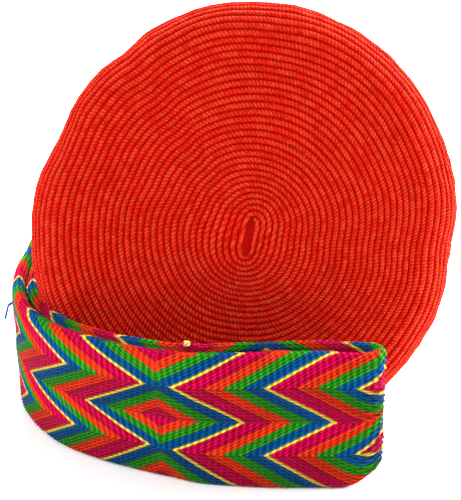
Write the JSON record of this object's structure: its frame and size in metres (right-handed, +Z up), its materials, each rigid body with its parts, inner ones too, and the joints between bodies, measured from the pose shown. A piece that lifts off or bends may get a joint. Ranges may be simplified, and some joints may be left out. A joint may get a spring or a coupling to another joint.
{
  "type": "wayuu mochila bag",
  "caption": "Round-based crocheted bucket bag lying on its side, with a wide woven shoulder strap folded along its front and left side.",
  "frame": {"origin": "On the floor, under the middle of the whole object's box, with the bag lying on its side", "axes": "+Z up; the round base faces -Y and leans back, the open mouth faces +Y, and +X is to the right of someone who looks at the base"},
  "size_m": [0.27, 0.3584, 0.2467],
  "materials": {
    "crochet_yarn": "thick crocheted cotton yarn, slightly fuzzy",
    "strap_yarn": "plied yarn woven in coloured chevrons",
    "stitching_yarn": "sewing yarn",
    "knot_yarn": "knotted yarn end",
    "loop_yarn": "loose yarn loop"
  },
  "bodies": {
    "root": {"crocheted_body": "crochet_yarn", "woven_strap": "strap_yarn", "end_stitching_left": "stitching_yarn", "end_stitching_right": "stitching_yarn", "edge_knot": "knot_yarn", "yarn_loop": "loop_yarn"}
  },
  "joints": []
}
